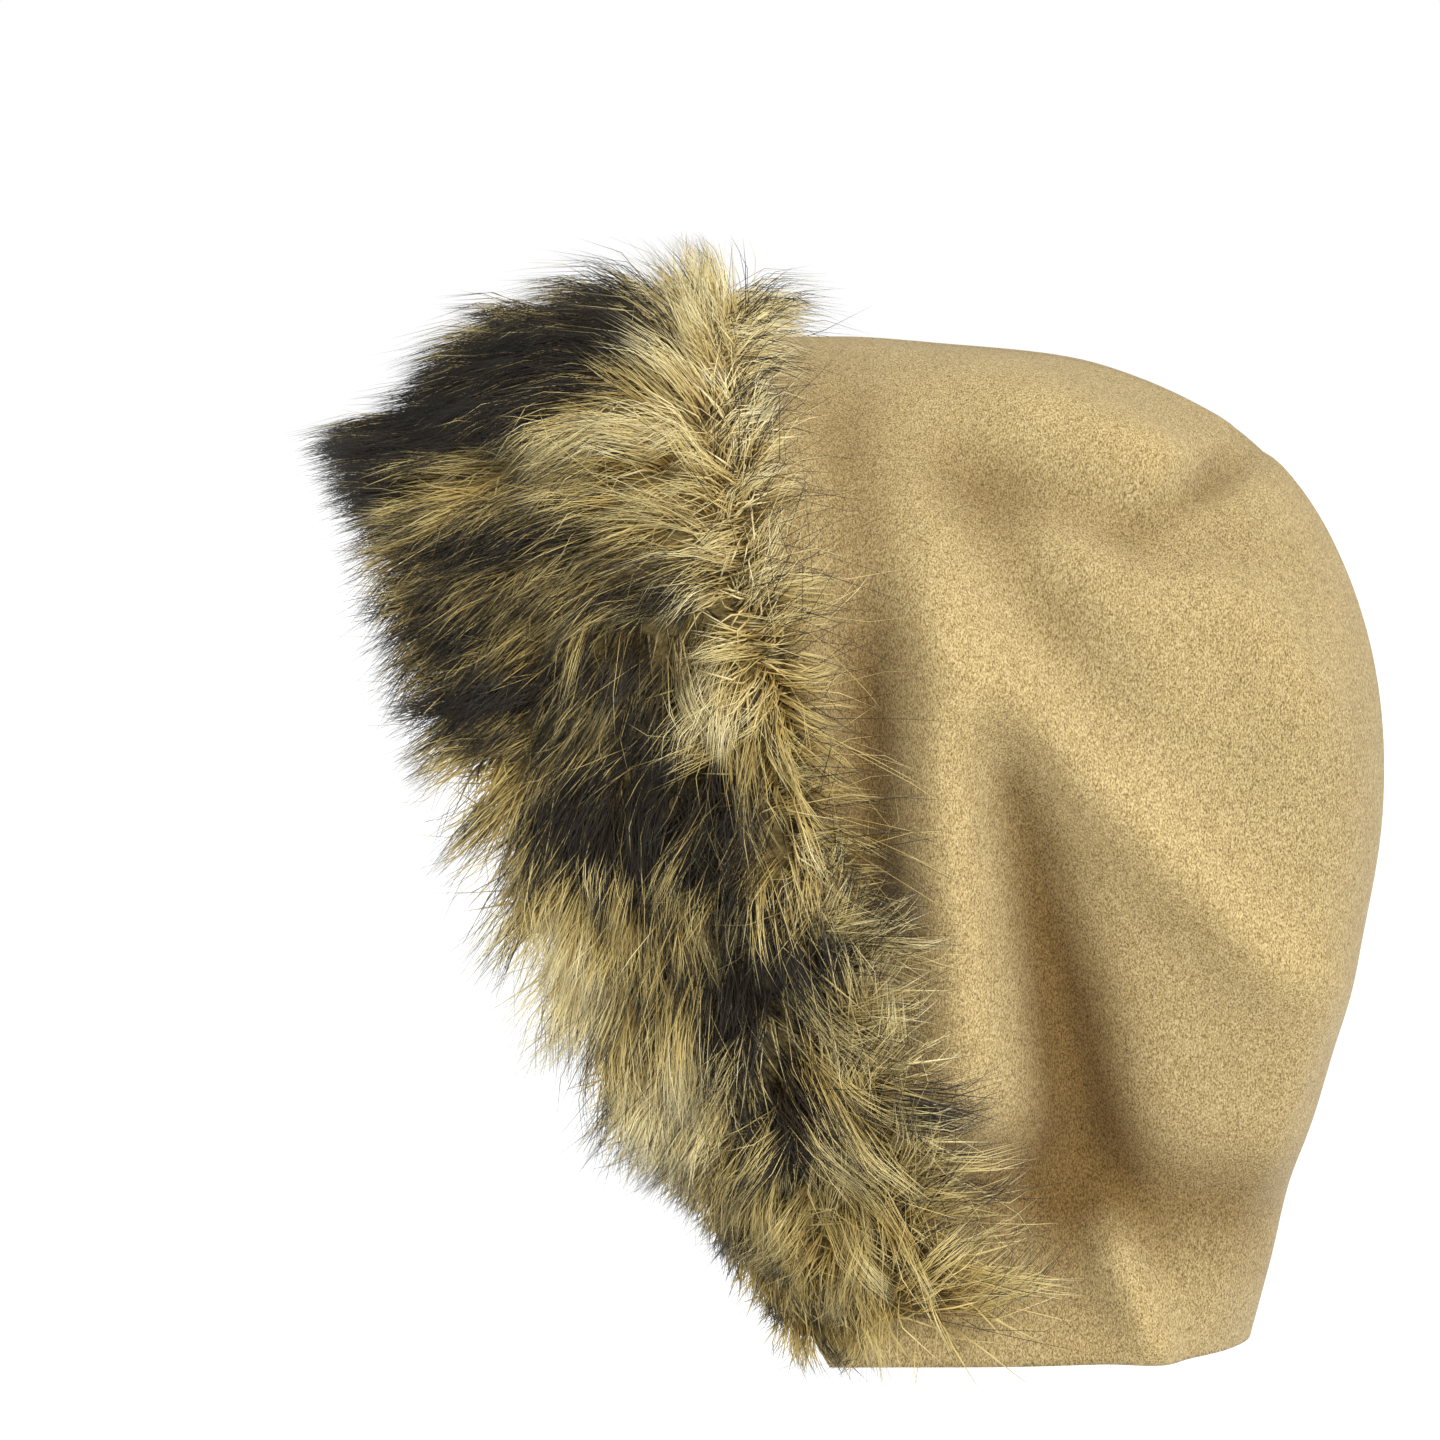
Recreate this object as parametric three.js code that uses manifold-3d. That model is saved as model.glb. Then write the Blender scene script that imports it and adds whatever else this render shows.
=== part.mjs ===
// A raised hood of brushed fleece with a deep fur trim round the face opening.
// Two mirrored side panels meet in a seam that runs over the crown and down the back, and end in a level
// neck edge. One fur strip wraps the front edge and is combed forward, with a short fringe combed back.
// Millimetres, +Z up, the face opening towards -Y. The origin is where the crown of a head touches the hood.
import * as THREE from "three";
import { mergeVertices } from "three/addons/utils/BufferGeometryUtils.js";
import Module from "manifold-3d";

const wasm = await Module();
wasm.setup();

// Driving dimensions
const WALL = 2.4; // brushed fleece, one layer
const SEAM_GAP = 0.3; // between the two panels, and between fur backing and cloth
const SLOT_REACH = 0.4; // how far the fur's slot runs past the cloth's front and neck edges
const NECK_Z = -335; // level of the neck edge
const HALF_WIDTH = 106; // of the hood at the ears
const NECK_HALF_WIDTH = 84;
const ROUND_DEPTH = 84; // from the crown seam down to where the side hangs straight
const FRONT_BOW = 9; // how far the front edge bulges forward of a straight line
const CHIN = { y: -25, z: NECK_Z }; // lower end of the front edge
const NAPE = { y: 122, z: NECK_Z }; // lower end of the back seam
const PANEL_STEPS = { underFur: 3, along: 24, down: 20 }; // facets behind the fur, front to nape, seam to neck
const UNDER_FUR = 0.17; // share of the seam that the fur covers with few facets

// The seam between the panels, seen from the side
const SEAM_LINE = [
  { name: "front tip", y: -160, z: -36 },
  { name: "brow", y: -110, z: -4 },
  { name: "crown front", y: -58, z: 1.8 },
  { name: "crown", y: 12, z: 1.8 },
  { name: "crown back", y: 72, z: -5 },
  { name: "back top", y: 126, z: -34 },
  { name: "back upper", y: 156, z: -86 },
  { name: "back middle", y: 164, z: -150 },
  { name: "back lower", y: 150, z: -222 },
  { name: "nape top", y: 128, z: -296 },
];

// Soft folds of each panel, as ridges (height above 0) and valleys (below 0) along lines seen from the side
const LEFT_FOLDS = [
  { name: "valley behind the fur", from: [-12, -78], to: [-2, -232], width: 15, height: -8 },
  { name: "ridge down to the neck", from: [18, -110], to: [34, -300], width: 17, height: 8 },
  { name: "middle valley", from: [38, -128], to: [72, -316], width: 17, height: -11 },
  { name: "back ridge", from: [58, -92], to: [112, -250], width: 20, height: 8 },
  { name: "upper slope", from: [30, -20], to: [86, -50], width: 17, height: 5 },
  { name: "pinch below the crown", from: [90, -50], to: [136, -24], width: 8, height: -9 },
  { name: "ridge under the pinch", from: [84, -52], to: [128, -112], width: 12, height: 6 },
  { name: "swell over the shoulder", from: [84, -322], to: [108, -296], width: 15, height: 8 },
];
const RIGHT_FOLDS = [
  { name: "valley behind the fur", from: [-8, -96], to: [-6, -250], width: 16, height: -7 },
  { name: "ridge down to the neck", from: [22, -140], to: [26, -305], width: 18, height: 8 },
  { name: "middle valley", from: [44, -150], to: [64, -318], width: 17, height: -9 },
  { name: "back ridge", from: [70, -110], to: [98, -290], width: 19, height: 7 },
  { name: "upper slope", from: [24, -18], to: [74, -40], width: 16, height: 6 },
  { name: "pinch below the crown", from: [104, -64], to: [140, -44], width: 8, height: -6 },
];
const FOLD_FADE = { seam: 0.22, nape: 0.12 }; // shares of a panel in which its folds die out at the seam
const SEAM_VALLEY = { width: 17, depth: 8, from: 0.3, full: 0.44, until: 0.93 };

// The fur strip, from the crown seam down the front edge: its width back over the cloth, the height of its
// matted pile, how far that stands forward of the edge, the length of the hair combed back, and its loft
const STRIP = [
  { down: 0, width: 118, pile: 20, nose: 30, fringe: 32, loft: 1 },
  { down: 0.38, width: 94, pile: 19, nose: 22, fringe: 32, loft: 1 },
  { down: 0.55, width: 80, pile: 18, nose: 18, fringe: 31, loft: 1 },
  { down: 0.78, width: 54, pile: 17, nose: 14, fringe: 50, loft: 0.9 },
  { down: 1, width: 44, pile: 12, nose: 11, fringe: 60, loft: 0.7 },
];
const BAND_STATIONS = 30; // cross-sections of the matted pile
const STRIP_END = 0.955; // share of the front edge that the strip covers on each side
const FACING = 26; // how far the strip turns in behind the front edge
const FACING_PILE = 6; // height of the pile on that turned-in part
const SKIN_EDGE = 2.5; // how far the back edge of the strip stands over the cloth
const FORWARD_RISE = 0.3; // how much the hair beyond the edge rises over the slope of the crown

// Locks of fur: rows across the strip, from the hair combed back over the cloth to the front edge
const LOCK_ROWS = [
  { name: "combed back", share: 0.9, width: 50, forward: -1, rise: 4, count: 19 },
  { name: "parting", share: 0.82, length: 58, width: 62, forward: 1, rise: 12, count: 15 },
  { name: "middle", share: 0.56, length: 62, width: 60, forward: 1, rise: 14, count: 16 },
  { name: "front", share: 0.3, length: 58, width: 54, forward: 1, rise: 14, count: 18 },
  { name: "edge", share: 0.06, length: 46, width: 44, forward: 1, rise: 9, count: 22 },
];
// How far the hair leans from straight across the strip towards the neck, in degrees: at the front edge,
// at the parting, and in the fringe combed back
const LEAN = [
  { down: 0, front: 0, parting: 0, fringe: 12 },
  { down: 0.25, front: 8, parting: 14, fringe: 6 },
  { down: 0.5, front: 14, parting: 34, fringe: 0 },
  { down: 0.7, front: 30, parting: 62, fringe: -5 },
  { down: 1, front: 50, parting: 60, fringe: -12 },
];
const LOCK = { sides: 4, rings: 3, thickness: 0.3, curl: 2.1, wander: 8, spread: 16, droop: 4 };
const NECK_CLEAR = 12; // the locks end this far above the neck edge

const mix = (a, b, t) => a + (b - a) * t;
const clamp = (x, low, high) => Math.min(high, Math.max(low, x));
const smooth = (x) => x * x * (3 - 2 * x);
const radians = (degrees) => (degrees * Math.PI) / 180;
// A repeatable number from 0 to 1 for a place in a row
const scatter = (n, k) => {
  const x = Math.sin(n * 12.9898 + k * 78.233) * 43758.5453;
  return x - Math.floor(x);
};

// A row between the rows of a table that steps down the front edge
function rowAt(rows, down) {
  const i = Math.max(1, rows.findIndex((row) => row.down >= down));
  const [a, b] = [rows[i - 1], rows[i]];
  const t = smooth((down - a.down) / (b.down - a.down));
  return Object.fromEntries(Object.keys(a).map((column) => [column, mix(a[column], b[column], t)]));
}

const seam = new THREE.SplineCurve(SEAM_LINE.map((p) => new THREE.Vector2(p.y, p.z)));
seam.arcLengthDivisions = 400;

// Seen from above the hood is straight beside the head and round behind it
const backRound = (u) => Math.sqrt(1 - u ** 5);
const neckPoint = (u) => ({ x: NECK_HALF_WIDTH * backRound(u), y: mix(CHIN.y, NAPE.y, u) });

// A blade of the hood runs from the seam, at share u of its length, down to the neck edge
function blade(u) {
  const top = seam.getPointAt(u);
  const neck = neckPoint(u);
  const reach = new THREE.Vector2(neck.y - top.x, NECK_Z - top.y);
  const length = reach.length();
  const width = mix(HALF_WIDTH, NECK_HALF_WIDTH, u ** 3) * backRound(u);
  const depth = Math.min(ROUND_DEPTH, 0.55 * length);
  const arc = (Math.PI / 2) * Math.sqrt((width * width + depth * depth) / 2);
  const turned = arc / (arc + length - depth);
  return { top, neck, reach: reach.divideScalar(length), length, width, depth, turned };
}

// The outer surface without folds, at share u from front to nape and v from seam to neck
function bareCloth(u, v) {
  const b = blade(u);
  let along;
  let x;
  if (v < b.turned) {
    const angle = ((v / b.turned) * Math.PI) / 2;
    along = b.depth * (1 - Math.cos(angle));
    x = b.width * Math.sin(angle);
  } else {
    const t = (v - b.turned) / (1 - b.turned);
    along = mix(b.depth, b.length, t);
    x = mix(b.width, b.neck.x, smooth(t));
  }
  const share = along / b.length;
  const bow = FRONT_BOW * (1 - u) ** 2 * 4 * share * (1 - share);
  return new THREE.Vector3(
    x,
    b.top.x + b.reach.x * along + b.reach.y * bow,
    b.top.y + b.reach.y * along - b.reach.x * bow,
  );
}

// The outward normal, level at the neck edge and in the middle plane along the seam
function clothNormal(u, v) {
  const step = 0.004;
  const [u0, u1] = [Math.max(0, u - step), Math.min(1, u + step)];
  const [v0, v1] = [Math.max(0, v - step), Math.min(1, v + step)];
  const alongU = bareCloth(u1, v).sub(bareCloth(u0, v));
  const alongV = bareCloth(u, v1).sub(bareCloth(u, v0));
  const normal = alongV.cross(alongU).normalize();
  if (v === 0 || u === 1) normal.x = 0;
  if (v === 1) normal.z = 0;
  return normal.normalize();
}

// How far the folds lift a point seen from the side at (y, z)
function foldHeight(folds, y, z) {
  let height = 0;
  for (const fold of folds) {
    const [dy, dz] = [fold.to[0] - fold.from[0], fold.to[1] - fold.from[1]];
    const length = Math.hypot(dy, dz);
    const t = ((y - fold.from[0]) * dy + (z - fold.from[1]) * dz) / (length * length);
    const across = ((y - fold.from[0]) * dz - (z - fold.from[1]) * dy) / length;
    const past = (Math.abs(t - 0.5) - 0.5) * length;
    const fade = past > 0 ? Math.exp(-((past / (1.6 * fold.width)) ** 2)) : 1;
    height += fold.height * fade * Math.exp(-((across / fold.width) ** 2));
  }
  return height;
}

// The cloth dips towards the seam behind the crown
function seamDip(u, x) {
  const { width, depth, from, full, until } = SEAM_VALLEY;
  const grown = smooth(clamp((u - from) / (full - from), 0, 1)) * smooth(clamp((1 - u) / (1 - until), 0, 1));
  return -depth * grown * Math.exp(-((x / width) ** 2));
}

// A point of a panel, lifted off the outer surface by offset; side is 1 for the left and -1 for the right
function clothPoint(side, u, v, offset) {
  const bare = bareCloth(u, v);
  const normal = clothNormal(u, v);
  const folds = side > 0 ? LEFT_FOLDS : RIGHT_FOLDS;
  const hang = smooth(clamp(v / FOLD_FADE.seam, 0, 1)) * smooth(clamp((1 - u) / FOLD_FADE.nape, 0, 1));
  const lift = hang * foldHeight(folds, bare.y, bare.z) + seamDip(u, bare.x);
  const point = bare.addScaledVector(normal, lift + offset);
  point.x *= side;
  return { point, normal: new THREE.Vector3(normal.x * side, normal.y, normal.z) };
}

// A closed geometry from its points and triangles
function closedGeometry(points, triangles) {
  const geometry = new THREE.BufferGeometry();
  const numbers = points.flatMap((p) => [p.x, p.y, p.z]);
  geometry.setAttribute("position", new THREE.Float32BufferAttribute(numbers, 3));
  geometry.setIndex(triangles);
  return geometry;
}

function solidOf(geometry) {
  const bare = geometry.clone();
  bare.deleteAttribute("normal");
  bare.deleteAttribute("uv");
  const merged = mergeVertices(bare, 1e-4);
  return new wasm.Manifold(
    new wasm.Mesh({
      numProp: 3,
      vertProperties: merged.attributes.position.array,
      triVerts: new Uint32Array(merged.index.array),
    }),
  );
}

function geometryOf(solid) {
  const mesh = solid.getMesh();
  const geometry = new THREE.BufferGeometry();
  geometry.setAttribute("position", new THREE.BufferAttribute(mesh.vertProperties, 3));
  geometry.setIndex(new THREE.BufferAttribute(mesh.triVerts, 1));
  geometry.computeVertexNormals();
  return geometry;
}

// Share of the seam at a facet edge: long facets behind the fur, short ones where the folds show
function stepAlong(i) {
  const { underFur, along } = PANEL_STEPS;
  return i < underFur ? (UNDER_FUR * i) / underFur : mix(UNDER_FUR, 1, (i - underFur) / (along - underFur));
}

// A wall of cloth between two offsets from the outer surface, with its seam edges at x = middle
function panelGeometry(side, outer, inner, middle, frontReach = 0) {
  const { along, down } = PANEL_STEPS;
  const points = [];
  for (const offset of [outer, inner]) {
    for (let i = 0; i <= along; i++) {
      for (let j = 0; j <= down; j++) {
        const [u, v] = [stepAlong(i), j / down];
        const { point } = clothPoint(side, u, v, offset);
        if (i === 0) point.add(forwardFrom(side, v).multiplyScalar(frontReach));
        if (j === 0 || i === along) point.x = side * middle;
        if (j === down) point.z = NECK_Z - frontReach;
        points.push(point);
      }
    }
  }
  const layer = (along + 1) * (down + 1);
  const at = (l, i, j) => l * layer + i * (down + 1) + j;
  const triangles = [];
  const quad = (a, b, c, d) => triangles.push(...(side > 0 ? [a, b, c, a, c, d] : [a, c, b, a, d, c]));
  for (let i = 0; i < along; i++) {
    for (let j = 0; j < down; j++) {
      quad(at(0, i, j), at(0, i, j + 1), at(0, i + 1, j + 1), at(0, i + 1, j));
      quad(at(1, i, j), at(1, i + 1, j), at(1, i + 1, j + 1), at(1, i, j + 1));
    }
    quad(at(0, i, 0), at(0, i + 1, 0), at(1, i + 1, 0), at(1, i, 0));
    quad(at(0, i, down), at(1, i, down), at(1, i + 1, down), at(0, i + 1, down));
  }
  for (let j = 0; j < down; j++) {
    quad(at(0, 0, j), at(1, 0, j), at(1, 0, j + 1), at(0, 0, j + 1));
    quad(at(0, along, j), at(0, along, j + 1), at(1, along, j + 1), at(1, along, j));
  }
  return closedGeometry(points, triangles);
}

// The way forward off the front edge
function forwardFrom(side, v) {
  const ahead = bareCloth(0, v).sub(bareCloth(0.01, v)).normalize();
  ahead.z += FORWARD_RISE * (1 - v) ** 2;
  ahead.x *= side;
  return ahead.normalize();
}

const EDGE_LENGTH = (() => {
  let length = 0;
  for (let j = 0; j < 100; j++) length += bareCloth(0, j / 100).distanceTo(bareCloth(0, (j + 1) / 100));
  return length;
})();

// How far down the front edge a place along the strip is, as a share
const downAt = (along) => Math.min(1, Math.abs(along) / EDGE_LENGTH);

// A point of the strip's own space: back from the front edge, along it from the crown, where the left is
// positive, and up off the cloth
function furPoint(back, along, up) {
  const side = along < 0 ? -1 : 1;
  const v = downAt(along);
  const pace = bareCloth(0, v).distanceTo(bareCloth(0.05, v)) / 0.05;
  const { point, normal } = clothPoint(side, clamp(back / pace, 0, 1), v, 0);
  if (back < 0) point.addScaledVector(forwardFrom(side, v), -back);
  return point.addScaledVector(normal, up);
}

// The matted pile and its backing: a closed band that wraps the front edge
function furBandGeometry() {
  const reach = STRIP_END * EDGE_LENGTH;
  const points = [];
  let ring = 0;
  for (let i = 0; i <= BAND_STATIONS; i++) {
    const along = mix(reach, -reach, i / BAND_STATIONS);
    const { width, pile, nose } = rowAt(STRIP, downAt(along));
    const middle = -WALL / 2;
    const section = [
      [width, middle],
      [width, SKIN_EDGE],
      [width * 0.9, pile * 0.62],
      [width * 0.72, pile * 0.95],
      [width * 0.4, pile],
      [width * 0.1, pile * 0.9],
      [-nose * 0.7, pile * 0.5],
      [-nose, -WALL],
      [-nose * 0.6, -WALL - FACING_PILE],
      [FACING * 0.15, -WALL - FACING_PILE * 1.3],
      [FACING * 0.8, -WALL - FACING_PILE],
      [FACING, -WALL - SKIN_EDGE],
      [FACING, middle],
    ];
    ring = section.length;
    for (const [back, up] of section) points.push(furPoint(back, along, up));
  }
  const triangles = [];
  for (let i = 0; i < BAND_STATIONS; i++) {
    for (let k = 0; k < ring; k++) {
      const [a, b] = [i * ring + k, i * ring + ((k + 1) % ring)];
      triangles.push(a, b + ring, b, a, a + ring, b + ring);
    }
  }
  const flat = points.slice(0, ring).map((p) => new THREE.Vector2(p.y, p.x));
  const cap = THREE.ShapeUtils.triangulateShape(flat, []);
  const last = BAND_STATIONS * ring;
  const anticlockwise = THREE.ShapeUtils.area(cap[0].map((k) => flat[k])) > 0;
  for (const [a, p, q] of cap) {
    const [b, c] = anticlockwise ? [p, q] : [q, p];
    triangles.push(a, b, c);
    triangles.push(last + a, last + c, last + b);
  }
  return closedGeometry(points, triangles);
}

// The path of one lock in the strip's space: rooted in the pile, lifting, then drooping to its tip
function lockPath(row, index) {
  const share = (index + 0.5 + 0.5 * (scatter(index, row.share) - 0.5)) / row.count;
  const reach = STRIP_END * EDGE_LENGTH - LOCK.wander;
  const along = mix(reach, -reach, share);
  const down = downAt(along);
  const strip = rowAt(STRIP, down);
  const leans = rowAt(LEAN, down);
  const forward = row.forward > 0;
  const back = strip.width * row.share + LOCK.wander * (scatter(index, 5 + row.share) - 0.5);
  const slim = mix(1, 0.8, down);
  const evenness = mix(0.85, 1.15, scatter(index, 9 + row.share));
  const length = evenness * (forward ? row.length * slim : strip.fringe);
  const lean = forward ? mix(leans.front, leans.parting, row.share) : leans.fringe;
  const angle = radians(lean + LOCK.spread * (scatter(index, 3 + row.share) - 0.5));
  const side = along < 0 ? -1 : 1;
  const last = EDGE_LENGTH - NECK_CLEAR;
  const droop = forward ? 0 : LOCK.droop;
  const path = [];
  for (let k = 0; k <= LOCK.rings; k++) {
    const t = k / LOCK.rings;
    const turn = angle * mix(0.7, 1.3, t);
    path.push({
      back: back - row.forward * length * t * Math.cos(turn),
      along: clamp(along + side * length * t * Math.sin(turn), -last, last),
      up: strip.pile * 0.45 + strip.loft * row.rise * Math.sin(t * LOCK.curl) - droop * t,
    });
  }
  return { path, width: row.width * slim };
}

// One lock as a closed tapered tube, flattened like a tuft of combed pile
function lockGeometry(row, index) {
  const { path, width } = lockPath(row, index);
  const centres = path.map((p) => furPoint(p.back, p.along, p.up));
  const above = path.map((p) => furPoint(p.back, p.along, p.up + 1));
  const points = [];
  const { sides, rings } = LOCK;
  for (let k = 0; k < rings; k++) {
    const ahead = centres[k + 1].clone().sub(centres[Math.max(0, k - 1)]).normalize();
    const up = above[k].sub(centres[k]).normalize();
    const across = new THREE.Vector3().crossVectors(ahead, up).normalize();
    up.crossVectors(across, ahead);
    const t = k / rings;
    const half = (width / 2) * (0.75 + 0.9 * t) * (1 - t) ** 0.75;
    for (let s = 0; s < sides; s++) {
      const turn = (2 * Math.PI * s) / sides;
      points.push(
        centres[k].clone()
          .addScaledVector(across, half * Math.cos(turn))
          .addScaledVector(up, half * LOCK.thickness * Math.sin(turn)),
      );
    }
  }
  const tip = points.push(centres[rings]) - 1;
  const root = points.push(centres[0]) - 1;
  const triangles = [];
  for (let s = 0; s < sides; s++) {
    const n = (s + 1) % sides;
    for (let k = 0; k < rings - 1; k++) {
      const [a, b] = [k * sides + s, k * sides + n];
      triangles.push(a, b + sides, b, a, a + sides, b + sides);
    }
    const edge = (rings - 1) * sides;
    triangles.push(edge + s, tip, edge + n);
    triangles.push(root, s, n);
  }
  return closedGeometry(points, triangles);
}

function outward(solid) {
  if (solid.volume() < 0) throw new Error("a fur piece is inside out");
  return solid;
}

function furTrimGeometry() {
  const pieces = [outward(solidOf(furBandGeometry()))];
  for (const row of LOCK_ROWS) {
    for (let index = 0; index < row.count; index++) {
      pieces.push(outward(solidOf(lockGeometry(row, index))));
    }
  }
  // The cloth, a little thicker and longer than it is, makes the slot that holds the front edge
  const slots = [1, -1].map((side) =>
    solidOf(panelGeometry(side, SEAM_GAP, -WALL - SEAM_GAP, -SEAM_GAP, SLOT_REACH)),
  );
  const fur = wasm.Manifold.union(pieces).subtract(wasm.Manifold.union(slots));
  const bodies = fur.decompose().sort((a, b) => b.volume() - a.volume());
  return geometryOf(bodies[0]);
}

const fleece = new THREE.MeshStandardMaterial({ color: 0xc6a878, roughness: 0.95, metalness: 0 });
const fur = new THREE.MeshStandardMaterial({ color: 0x9d8452, roughness: 0.8, metalness: 0 });

function named(name, geometry, material) {
  const mesh = new THREE.Mesh(geometry, material);
  mesh.name = name;
  return mesh;
}

const hood = new THREE.Group();
hood.add(named("left_panel", panelGeometry(1, 0, -WALL, SEAM_GAP / 2), fleece));
hood.add(named("right_panel", panelGeometry(-1, 0, -WALL, SEAM_GAP / 2), fleece));
hood.add(named("fur_trim", furTrimGeometry(), fur));

export default hood;
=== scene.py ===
"""A raised hood of brushed fleece with a deep fur trim round its face opening.

The cloth is two soft panels that meet in a seam over the crown and down the back. The fur is a matted bed
that wraps the front edge, under tens of thousands of closed, tapered hairs in tufts and in locks of tufts.
Lengths are in millimetres until a mesh is made, which is in metres. +Z is up and the face looks out along -Y.
"""
import math

import bpy
import numpy as np
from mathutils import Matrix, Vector


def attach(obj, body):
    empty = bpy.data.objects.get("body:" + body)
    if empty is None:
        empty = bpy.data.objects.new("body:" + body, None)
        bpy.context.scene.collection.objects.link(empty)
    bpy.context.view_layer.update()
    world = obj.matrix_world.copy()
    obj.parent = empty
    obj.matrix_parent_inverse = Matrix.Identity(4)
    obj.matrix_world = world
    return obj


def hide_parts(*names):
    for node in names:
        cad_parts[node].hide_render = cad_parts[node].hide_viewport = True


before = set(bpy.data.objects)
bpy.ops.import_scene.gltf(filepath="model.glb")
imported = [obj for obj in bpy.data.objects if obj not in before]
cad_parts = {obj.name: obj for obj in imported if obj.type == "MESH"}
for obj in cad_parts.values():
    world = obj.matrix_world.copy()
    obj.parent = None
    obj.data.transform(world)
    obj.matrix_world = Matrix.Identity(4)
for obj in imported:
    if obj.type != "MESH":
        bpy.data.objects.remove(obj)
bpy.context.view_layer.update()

MM = 0.001


def table(heads, *rows):
    """A small table as columns: the words of heads name them."""
    return dict(zip(heads.split(), np.array(rows, float).T))


# The camera and the lights, in metres and degrees: the camera looks from well off on the hood's left, and
# each sun has its direction, strength and softness
AIM = Vector((0, -0.0612, -0.12784))
CAMERA = {"distance": 2.2, "height": 5.0, "sensor": 36, "lens": 161.7, "sees": 100}
FLOOR_Z = -0.9
FLOOR_SIZE = 40
FLOOR_WHITE = (0.98, 0.98, 0.98, 1)
AIR = {"From Min": 0.12, "From Max": 0.45, "To Min": 1.0, "To Max": 0.34}
SUNS = (
    ("key_light", (0.66, 0.46, 0.62), 2.8, 22),
    ("top_light", (0.05, 0.0, 1.0), 0.7, 50),
    ("fill_light", (0.7, -0.75, 0.25), 0.5, 40),
)

# Driving sizes of the cloth: its wall, half its width at the ears and at the neck, how deep the crown is
# rounded, how soon the width turns in at the back and the neck, the front edge's bow and the neck edge's ends
WALL = 2.4
NECK_Z = -335
HALF_WIDTH = 106
NECK_HALF_WIDTH = 84
ROUND_DEPTH = 84
ROUND_SHARE = 0.55
BACK_ROUNDNESS = 5
NECK_TAPER = 3
FRONT_BOW = 9
CHIN_Y = -25
NAPE_Y = 122
# The sewn seam: how far each panel laps over the middle, and the roll of its edge, whose width is set against
# the panel's usual lengths down and along
SEAM_LAP = 0.2
SEAM_ROLL = {"depth": 1.6, "width": 3.2, "down": 260, "along": 180}
SEAM_LINE = table(
    "y z",
    (-160, -36),
    (-110, -4),
    (-58, 1.8),
    (12, 1.8),
    (72, -5),
    (126, -34),
    (156, -86),
    (164, -150),
    (150, -222),
    (128, -296),
)

# Soft folds: ridges above 0 and valleys below 0, along lines seen from the side. Their heights also set the
# fleece's painted shade in the valleys and painted highlight on the ridges
FOLD_HEADS = "from_y from_z to_y to_z width height"
LEFT_FOLDS = table(
    FOLD_HEADS,
    (-12, -126, -11, -186, 11.5, -12),
    (12, -118, 19, -236, 16, 12),
    (34, -148, 60, -256, 14, -11),
    (54, -240, 60, -296, 22, -6),
    (30, -276, 104, -286, 20, -9),
    (38, -114, 118, -196, 16, 12),
    (30, -62, 56, -112, 13, -5),
    (58, -66, 88, -112, 16, 4),
    (34, -12, 80, -36, 13, 7),
    (42, -44, 92, -62, 14, -8),
    # This shallow valley just behind the fur also carries painted shade where the fur shades the cloth
    (-22, -24, -13, -92, 13, -6),
    (92, -46, 134, -22, 6.5, -9),
    (84, -52, 128, -112, 12, 5),
    (72, -304, 80, -326, 9, 11),
)
RIGHT_FOLDS = table(
    FOLD_HEADS,
    (-8, -96, -6, -250, 16, -7),
    (22, -140, 26, -305, 18, 8),
    (44, -150, 64, -318, 17, -9),
    (70, -110, 98, -290, 19, 7),
    (24, -18, 74, -40, 16, 6),
    (96, -84, 128, -70, 14, -4),
)
# How far past its ends a fold dies away, in its own widths, and over what share of the cloth all folds fade
# towards the seams. The valley that the seam lies in starts, is full and ends on the way from brow to nape
FOLD_ENDS = {"head": 2.6, "foot": 1.6}
FOLD_FADE = {"seam": 0.22, "nape": 0.12}
SEAM_VALLEY = {"width": 17, "depth": 9, "from": 0.26, "full": 0.4, "until": 0.84}

# The fur strip, down the front edge from the crown seam: its width, the height of its bed, how far the fur
# reaches ahead of the cloth, the length of its hair, and where the hair parts, as a share of the width
STRIP = table(
    "down width pile reach length part",
    (0.0, 118, 20, 35, 47, 0.94),
    (0.2, 108, 20, 35, 47, 0.93),
    (0.38, 94, 19, 38, 49, 0.91),
    (0.55, 80, 18, 45, 55, 0.90),
    (0.73, 59, 17, 47, 58, 0.78),
    (0.86, 50, 15, 17, 50, 0.74),
    (1.0, 44, 12, -10, 40, 0.70),
)
# How far the hair leans from straight across the strip towards the neck, in degrees
LEAN = table(
    "down front part",
    (0.0, 0, 0),
    (0.2, 5, 8),
    (0.35, 16, 24),
    (0.5, 26, 44),
    (0.62, 34, 56),
    (0.8, 42, 58),
    (1.0, 48, 54),
)
# The fringe combed back from the parting: its lean and length, how steeply it leaves the cloth, how much of
# its tips is dark, how much longer the guard hairs are, and how upright the hair stands on the parting itself
FRINGE = table(
    "down lean length pitch dark guard stand",
    (0.0, 4, 42, 14, 0.05, 1.15, 58),
    (0.1, 0, 41, 22, 0.09, 1.2, 50),
    (0.2, -10, 38, 34, 0.10, 1.3, 38),
    (0.3, -10, 33, 42, 0.12, 1.7, 26),
    (0.4, 0, 31, 44, 0.14, 2.0, 14),
    (0.48, 8, 29, 44, 0.16, 2.2, 6),
    (0.56, 6, 30, 42, 0.20, 1.9, 4),
    (0.60, -20, 38, 42, 0.30, 1.3, 4),
    (0.65, -44, 55, 44, 0.36, 1.0, 4),
    (0.72, -42, 68, 44, 0.38, 1.0, 4),
    (0.80, -36, 72, 44, 0.36, 1.0, 4),
    (0.90, -26, 70, 44, 0.34, 1.0, 4),
    (1.0, -6, 60, 40, 0.40, 1.0, 4),
)
# Where the strip ends, as a share of the front edge, then its facing inside, and how high the pile is there
STRIP_END = 0.955
FACING = 26
FACING_PILE = 6

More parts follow.
